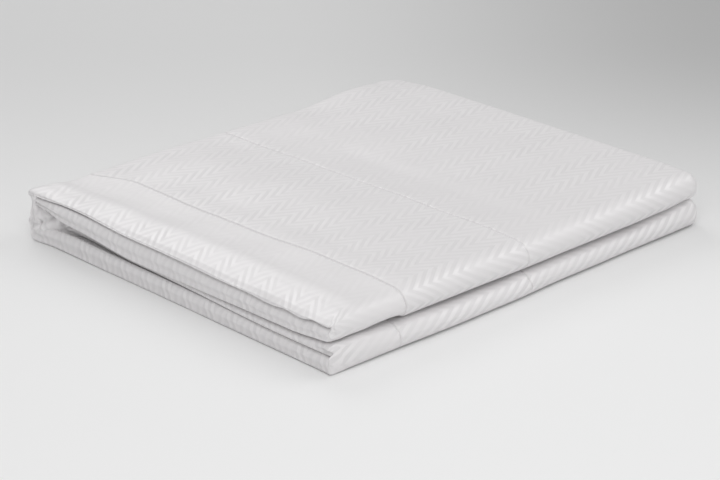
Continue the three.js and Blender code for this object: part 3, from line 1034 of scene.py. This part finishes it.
class Look:
    """A material and the one way of adding a node to it."""

    def __init__(self, name):
        self.material = bpy.data.materials.new(name)
        self.material.use_nodes = True
        self.tree = self.material.node_tree
        self.shader = self.tree.nodes["Principled BSDF"]

    def node(self, kind, settings=None, *values, **named):
        """Adds a node, sets it, then fills its sockets with numbers or links. Gives its outputs."""
        node = self.tree.nodes.new(kind)
        for key, value in (settings or {}).items():
            setattr(node, key, value)
        for key, value in [*enumerate(values), *named.items()]:
            socket = node.inputs[key if isinstance(key, int) else key.replace("_", " ").title()]
            self.fill(socket, value)
        return [Value(self, output) for output in node.outputs if output.enabled]

    def fill(self, socket, value):
        if isinstance(value, Value):
            self.tree.links.new(value.socket, socket)
        else:
            socket.default_value = value

    def set(self, **inputs):
        """Fills the shader's own sockets."""
        for key, value in inputs.items():
            self.fill(self.shader.inputs[key.replace("_", " ").title()], value)


# The middle of a noise, and the tone half way between a dull stripe and a shiny one.
HALF = 0.5
STRIPE_SOFTNESS = 0.6
SLANT_SOFTNESS = 0.4
PATCH_RANGE = (0.34, 0.62)

# Painted light: stretches of the cloth where the weave is painted fainter, as the light shows it less there,
# in metres from the hem's seam. Each rises to the share that the finish names, and falls again at its end.
PAINTED_FADE_STRETCHES = (
    {"share": "hem_painted_fade", "start": -0.04, "rise": 0.012, "end": 0.0035, "fall": 0.003},
    {"share": "crease_painted_fade", "start": 0.118, "rise": 0.02, "end": 0.21, "fall": 0.06},
    {"share": "shoulder_painted_fade", "start": -0.2, "rise": 0.01, "end": 0.0035, "fall": 0.003},
)


def within_stretch(along, seam_at, stretch):
    """1 within a stretch of the cloth and 0 beyond it, with soft ends."""
    start, end = seam_at + stretch["start"], seam_at + stretch["end"]
    return along.ramp(start, start + stretch["rise"]) * along.ramp(end - stretch["fall"], end, 1.0, 0.0)


def weave_strength(look, finish, uv, along, sideways, seam_at):
    """How much the stripes show: painted fainter where they slant the other way and in some stretches, as
    the light shows them less there, and fainter in random patches.
    """
    slant = (sideways * (math.pi / finish.column_width)).math("SINE")
    # Painted light: the stripes of the other slant are painted fainter, as the light across them shows them
    # less.
    strength = slant.ramp(-SLANT_SOFTNESS, SLANT_SOFTNESS, 1.0, finish.other_slant_painted_share)
    # Painted light: in these stretches the weave is painted fainter, as the light shows it less there.
    for stretch in PAINTED_FADE_STRETCHES:
        share = getattr(finish, stretch["share"])
        strength = strength * (1 - within_stretch(along, seam_at, stretch) * share)
    patches = look.node("ShaderNodeTexNoise", None, uv, scale=finish.patch_scale, detail=2.0)[0]
    return strength * patches.ramp(*PATCH_RANGE, finish.patch_faintness, 1.0)


def herringbone(look, finish, seam_at):
    """The woven stripes: their UV map, their wave, how much they show, and the stripes themselves.

    A stripe is 1 where it is shiny and 0 where it is dull, with soft sides, and nearer to half where the
    weave shows less: where it is painted fainter for light that shows it less, and in random patches.
    """
    uv = look.node("ShaderNodeUVMap", {"uv_map": "cloth"})[0]
    along, across, _ = look.node("ShaderNodeSeparateXYZ", None, uv)
    drift = look.node("ShaderNodeTexNoise", None, uv, scale=finish.drift_scale, detail=1.0)[0] - HALF
    sideways = across + finish.column_start + drift * finish.drift
    column = sideways.math("PINGPONG", finish.column_width)
    lean = 1 / (finish.stripe_pitch * math.tan(finish.stripe_angle))
    phase = along / finish.stripe_pitch + column * lean + drift * finish.stripe_drift
    wave = (phase * (2 * math.pi)).math("SINE")
    stripe = wave.ramp(-STRIPE_SOFTNESS, STRIPE_SOFTNESS)
    strength = weave_strength(look, finish, uv, along, sideways, seam_at)
    return uv, wave, strength, mix_values(strength, HALF, stripe)


# The size of a float of thread, in metres.
THREAD_LENGTH = 0.0035
THREAD_WIDTH = 0.0004


def threads(look, uv, lengthwise):
    """Fine floats of thread, long one way and narrow the other, from 0 to 1."""
    sizes = (THREAD_LENGTH, THREAD_WIDTH) if lengthwise else (THREAD_WIDTH, THREAD_LENGTH)
    stretched = look.node(
        "ShaderNodeVectorMath", {"operation": "MULTIPLY"}, uv, (1 / sizes[0], 1 / sizes[1], 1)
    )[0]
    return look.node("ShaderNodeTexNoise", None, stretched, scale=1.0, detail=0.0)[0]


# How much the stripes, the clouds of tone and the floats of thread share in the satin's colour.
STRIPE_SHARE = 0.92
CLOUD_SHARE = 0.06
FLOAT_SHARE = 0.02


def satin_material(finish, seam_at):
    """White satin: shiny stripes of lengthwise floats between dull stripes of crosswise ones."""
    look = Look("white_satin")
    uv, wave, strength, stripe = herringbone(look, finish, seam_at)
    cloud = look.node("ShaderNodeTexNoise", None, uv, scale=finish.cloud_scale, detail=3.0)[0]
    floats = mix_values(stripe, threads(look, uv, False), threads(look, uv, True))
    # The stripes' colours: the woven pattern, with the shiny stripes painted lighter as painted sheen for
    # the light their floats catch.
    colour = look.node(
        "ShaderNodeMix",
        {"data_type": "RGBA"},
        Factor=stripe * STRIPE_SHARE + cloud * CLOUD_SHARE + floats * FLOAT_SHARE,
        A=(*finish.dull_colour, 1),
        B=(*finish.shiny_colour, 1),
    )[0]
    relief = wave * strength * (finish.stripe_relief / 2) + floats * finish.thread_relief
    look.set(
        base_color=colour,
        metallic=mix_values(stripe, finish.dull_lustre, finish.shiny_lustre),
        roughness=mix_values(stripe, finish.dull_roughness, finish.shiny_roughness),
        normal=look.node("ShaderNodeBump", None, Strength=1.0, Distance=1.0, Height=relief)[0],
    )
    return look.material


class SheetSizes(PropertyGroup):
    thickness: FloatProperty(
        name="Cloth thickness",
        description="Thickness of one modelled layer of the cloth",
        default=0.0016,
        min=0.0008,
        max=0.002,
        unit="LENGTH",
    )


class SatinFinish(PropertyGroup):
    # The stripes' colours: the woven pattern, partly painted sheen, as the shiny stripes are painted lighter
    # for the light they catch.
    shiny_colour: FloatVectorProperty(
        name="Shiny stripes", description="Colour of the shiny stripes of the weave",
        default=(0.843, 0.827, 0.833), min=0, max=1, subtype="COLOR",
    )
    dull_colour: FloatVectorProperty(
        name="Dull stripes", description="Colour of the dull stripes of the weave",
        default=(0.733, 0.718, 0.724), min=0, max=1, subtype="COLOR",
    )
    shiny_lustre: FloatProperty(
        name="Shiny lustre", description="How much the shiny stripes mirror", default=0.12, subtype="FACTOR"
    )
    dull_lustre: FloatProperty(
        name="Dull lustre", description="How much the dull stripes mirror", default=0.04, subtype="FACTOR"
    )
    shiny_roughness: FloatProperty(
        name="Shiny roughness", description="Roughness of the shiny stripes", default=0.34, subtype="FACTOR"
    )
    dull_roughness: FloatProperty(
        name="Dull roughness", description="Roughness of the dull stripes", default=0.5, subtype="FACTOR"
    )
    hem_shift: FloatProperty(
        name="Hem shift", description="How far the weave of the hem is shifted at its seam", default=0.0042,
        unit="LENGTH",
    )
    thread_colour: FloatVectorProperty(
        name="Thread", description="Colour of the sewing thread", default=(0.74, 0.73, 0.725), min=0, max=1,
        subtype="COLOR",
    )
    column_width: FloatProperty(
        name="Column width", description="Width of a column of slanted stripes", default=0.01065,
        unit="LENGTH",
    )
    column_start: FloatProperty(
        name="Column start", description="Where the first column begins", default=0.5142, unit="LENGTH"
    )
    stripe_pitch: FloatProperty(
        name="Stripe pitch", description="Distance from stripe to stripe along the sheet", default=0.0105,
        unit="LENGTH",
    )
    stripe_angle: FloatProperty(
        name="Stripe angle", description="Angle of the stripes to the sheet's length",
        default=math.radians(29), unit="ROTATION",
    )
    stripe_relief: FloatProperty(
        name="Stripe relief", description="How high the shiny stripes stand", default=0.00012, unit="LENGTH"
    )
    thread_relief: FloatProperty(
        name="Thread relief", description="How high the floats of thread stand", default=0.000012,
        unit="LENGTH",
    )
    # Painted light: how much the stripes of the other slant show, painted fainter as the light across them
    # shows them less.
    other_slant_painted_share: FloatProperty(
        name="Other slant", description="How much the stripes of the fainter slant show", default=0.5,
        subtype="FACTOR",
    )
    # Painted light: shares by which the weave is painted fainter on the hem, behind its shoulder and behind
    # the cross crease, as the light shows it less there.
    hem_painted_fade: FloatProperty(
        name="Hem plainness", description="How much less the weave shows on the hem behind its shoulder",
        default=0.7, subtype="FACTOR",
    )
    shoulder_painted_fade: FloatProperty(
        name="Shoulder plainness", description="How much less the weave shows on the whole hem",
        default=0.06, subtype="FACTOR",
    )
    crease_painted_fade: FloatProperty(
        name="Crease plainness", description="How much less the weave shows behind the cross crease",
        default=0.5, subtype="FACTOR",
    )
    patch_scale: FloatProperty(
        name="Patch scale", description="How often the weave's strength changes in a metre", default=34.0
    )
    patch_faintness: FloatProperty(
        name="Patch faintness", description="How much of the weave shows where it is faintest", default=0.4,
        subtype="FACTOR",
    )
    drift: FloatProperty(
        name="Column drift", description="How far the columns wander sideways", default=0.0025, unit="LENGTH"
    )
    stripe_drift: FloatProperty(
        name="Stripe drift", description="How many stripes the pattern wanders along the sheet", default=0.9
    )
    drift_scale: FloatProperty(
        name="Drift scale", description="How often the pattern wanders in a metre", default=11.0
    )
    cloud_scale: FloatProperty(
        name="Cloud scale", description="How often the cloth's tone changes in a metre", default=26.0
    )


class StudioStage(PropertyGroup):
    floor_colour: FloatVectorProperty(
        name="Floor", description="Colour of the floor", default=(0.87, 0.87, 0.87), min=0, max=1,
        subtype="COLOR",
    )
    # Painted shade on the floor: where it starts and ends to darken away and to the right, and how much, as
    # if the light fell off there.
    shade_away: FloatVectorProperty(
        name="Darkening away", description="Where the floor starts and ends to darken, away from the camera",
        default=(-0.2, 0.45), size=2, unit="LENGTH",
    )
    shade_right: FloatVectorProperty(
        name="Darkening to the right", description="Where the floor starts and ends to darken to the right",
        default=(-0.1, 0.35), size=2, unit="LENGTH",
    )
    far_painted_shade: FloatProperty(
        name="Far darkness", description="How much darker the far floor is", default=0.225, subtype="FACTOR"
    )
    right_painted_shade: FloatProperty(
        name="Right darkness", description="How much darker the far floor is on the right", default=0.25,
        subtype="FACTOR",
    )
    fill: FloatProperty(name="Fill", description="Strength of the light from all round", default=0.42)


class SHEET_OT_cloth(Operator):
    """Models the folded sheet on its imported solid"""

    bl_idname = "sheet.cloth"
    bl_label = "Folded sheet"

    def execute(self, context):
        sizes, finish = context.scene.sheet_sizes, context.scene.satin_finish
        cloth = Cloth(sizes.thickness / MM)
        along, across = cloth.lengths()
        grid = np.stack(np.broadcast_arrays(along[None, :], across[:, None]), -1).reshape(-1, 2)
        vertices = np.concatenate([side.reshape(-1, 3) for side in cloth.sides])
        faces = grid_faces(cloth.rows, cloth.columns)
        uv = np.concatenate([grid, grid])[faces]
        on_hem = (faces % cloth.columns).max(1) <= cloth.path.seam_column
        uv[on_hem] += (finish.hem_shift, 0)
        satin = satin_material(finish, along[cloth.path.seam_column])
        piece = mesh_object("satin_sheet", vertices, faces, uv)
        tucked, tucked_uv = tucked_cloth(cloth.shift)
        tucked_faces = grid_faces(*tucked.shape[1:3])
        tuck = mesh_object(
            "tucked_folds", tucked.reshape(-1, 3), tucked_faces, tucked_uv.reshape(-1, 2)[tucked_faces]
        )
        for cloth_piece in (piece, tuck):
            cloth_piece.data.materials.append(satin)
            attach(cloth_piece, BODY)
        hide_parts(SHEET_NODE)
        return {"FINISHED"}


THREAD_ROUGHNESS = 0.6


class SHEET_OT_stitches(Operator):
    """Sews the hem's edge down with one line of stitches"""

    bl_idname = "sheet.stitches"
    bl_label = "Hem stitches"

    def execute(self, context):
        cloth = Cloth(context.scene.sheet_sizes.thickness / MM)
        points, faces, count = [], [], 0
        for leg in STITCHED_LEGS:
            leg_points, leg_faces = stitches_on(cloth, leg)
            points.append(leg_points)
            faces.append(leg_faces + count)
            count += len(leg_points)
        thread = mesh_object("hem_stitches", np.concatenate(points), np.concatenate(faces))
        look = Look("white_thread")
        look.set(base_color=(*context.scene.satin_finish.thread_colour, 1), roughness=THREAD_ROUGHNESS)
        thread.data.materials.append(look.material)
        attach(thread, BODY)
        return {"FINISHED"}


# The camera, in metres and degrees, at the photo's angle.
CAMERA_PLACE = (-1.0838, -1.1235, 0.6411)
CAMERA_TILT = 67.501
CAMERA_HEADING = -43.785
CAMERA_LENS = 120.96
CAMERA_SENSOR = 36
CAMERA_REACH = 50

# Soft lights: where each stands, what it points at, its size in metres and its power in watts.
LIGHTS = (
    ("front_softbox", (-1.0, -1.05, 1.4), (0, 0, 0.02), 1.2, 13),
    ("back_softbox", (0.3, 0.97, 1.0), (0, 0, 0.02), 0.8, 3.4),
    ("right_softbox", (1.1, -0.5, 1.15), (0, 0, 0.02), 0.9, 3.4),
    ("low_softbox", (0.9, -1.5, 0.5), (0, 0, 0.02), 1.0, 1.8),
    ("overhead_softbox", (0, 0, 1.8), (0, 0, 0.02), 1.4, 4.2),
)

# The floor's size in metres, its roughness, and headings on it: towards its far side, and to its right.
FLOOR_SIZE = 14
FLOOR_ROUGHNESS = 0.9
AWAY = (0.692, 0.722, 0)
RIGHTWARDS = (0.722, -0.692, 0)


def floor_painted_shade(look, studio):
    """The floor's colour, with painted shade: it darkens towards its far side, and most at the far right, as
    if the light fell off there.
    """
    at = look.node("ShaderNodeTexCoord")[3]
    shares = []
    for heading, (start, end) in ((AWAY, studio.shade_away), (RIGHTWARDS, studio.shade_right)):
        run = look.node("ShaderNodeVectorMath", {"operation": "DOT_PRODUCT"}, at, heading)[0]
        shares.append(run.ramp(start, end))
    away, right = shares
    # Painted shade: how much darker the floor is painted, standing in for light that falls off.
    darkness = away * (right * studio.right_painted_shade + studio.far_painted_shade)
    return look.node(
        "ShaderNodeMix",
        {"data_type": "RGBA"},
        Factor=darkness,
        A=(*studio.floor_colour, 1),
        B=(0, 0, 0, 1),
    )[0]


class SHEET_OT_stage(Operator):
    """Sets up the floor, the soft lights and the camera"""

    bl_idname = "sheet.stage"
    bl_label = "Stage"

    def execute(self, context):
        studio = context.scene.studio_stage
        bpy.ops.object.select_all(action="DESELECT")
        bpy.ops.mesh.primitive_plane_add(size=FLOOR_SIZE)
        floor = context.active_object
        floor.name = "floor"
        look = Look("floor_paper")
        look.set(base_color=floor_painted_shade(look, studio), roughness=FLOOR_ROUGHNESS)
        floor.data.materials.append(look.material)
        for name, location, target, size, power in LIGHTS:
            bpy.ops.object.light_add(type="AREA", location=location)
            light = context.active_object
            light.name = name
            light.data.size = size
            light.data.energy = power
            aim = np.array(target) - np.array(location)
            light.rotation_euler = (
                math.atan2(math.hypot(aim[0], aim[1]), -aim[2]),
                0,
                math.atan2(aim[1], aim[0]) - QUARTER,
            )
        world = bpy.data.worlds.new("studio_fill")
        world.use_nodes = True
        background = world.node_tree.nodes["Background"]
        background.inputs["Color"].default_value = (1, 1, 1, 1)
        background.inputs["Strength"].default_value = studio.fill
        context.scene.world = world
        bpy.ops.object.camera_add(
            location=CAMERA_PLACE, rotation=(math.radians(CAMERA_TILT), 0, math.radians(CAMERA_HEADING))
        )
        camera = context.active_object
        camera.data.sensor_width = CAMERA_SENSOR
        camera.data.lens = CAMERA_LENS
        camera.data.clip_end = CAMERA_REACH
        context.scene.camera = camera
        context.scene.view_settings.view_transform = "Standard"
        return {"FINISHED"}


class SHEET_PT_panel(Panel):
    """Lists the steps that model the sheet and its stage"""

    bl_idname = "SHEET_PT_panel"
    bl_label = "Folded sheet"
    bl_space_type = "VIEW_3D"
    bl_region_type = "UI"
    bl_category = "Sheet"

    def draw(self, context):
        for group in (context.scene.sheet_sizes, context.scene.satin_finish, context.scene.studio_stage):
            box = self.layout.box()
            for name in group.__annotations__:
                box.prop(group, name)
        for operator in OPERATORS:
            self.layout.operator(operator.bl_idname)


OPERATORS = (SHEET_OT_cloth, SHEET_OT_stitches, SHEET_OT_stage)
CLASSES = (SheetSizes, SatinFinish, StudioStage, *OPERATORS, SHEET_PT_panel)
GROUPS = {"sheet_sizes": SheetSizes, "satin_finish": SatinFinish, "studio_stage": StudioStage}


def register():
    for cls in CLASSES:
        bpy.utils.register_class(cls)
    for name, group in GROUPS.items():
        setattr(bpy.types.Scene, name, PointerProperty(type=group))


def unregister():
    for name in GROUPS:
        delattr(bpy.types.Scene, name)
    for cls in reversed(CLASSES):
        bpy.utils.unregister_class(cls)


def main():
    register()
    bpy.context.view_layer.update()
    bpy.ops.sheet.cloth()
    bpy.ops.sheet.stitches()
    bpy.ops.sheet.stage()


if __name__ == "__main__":
    main()
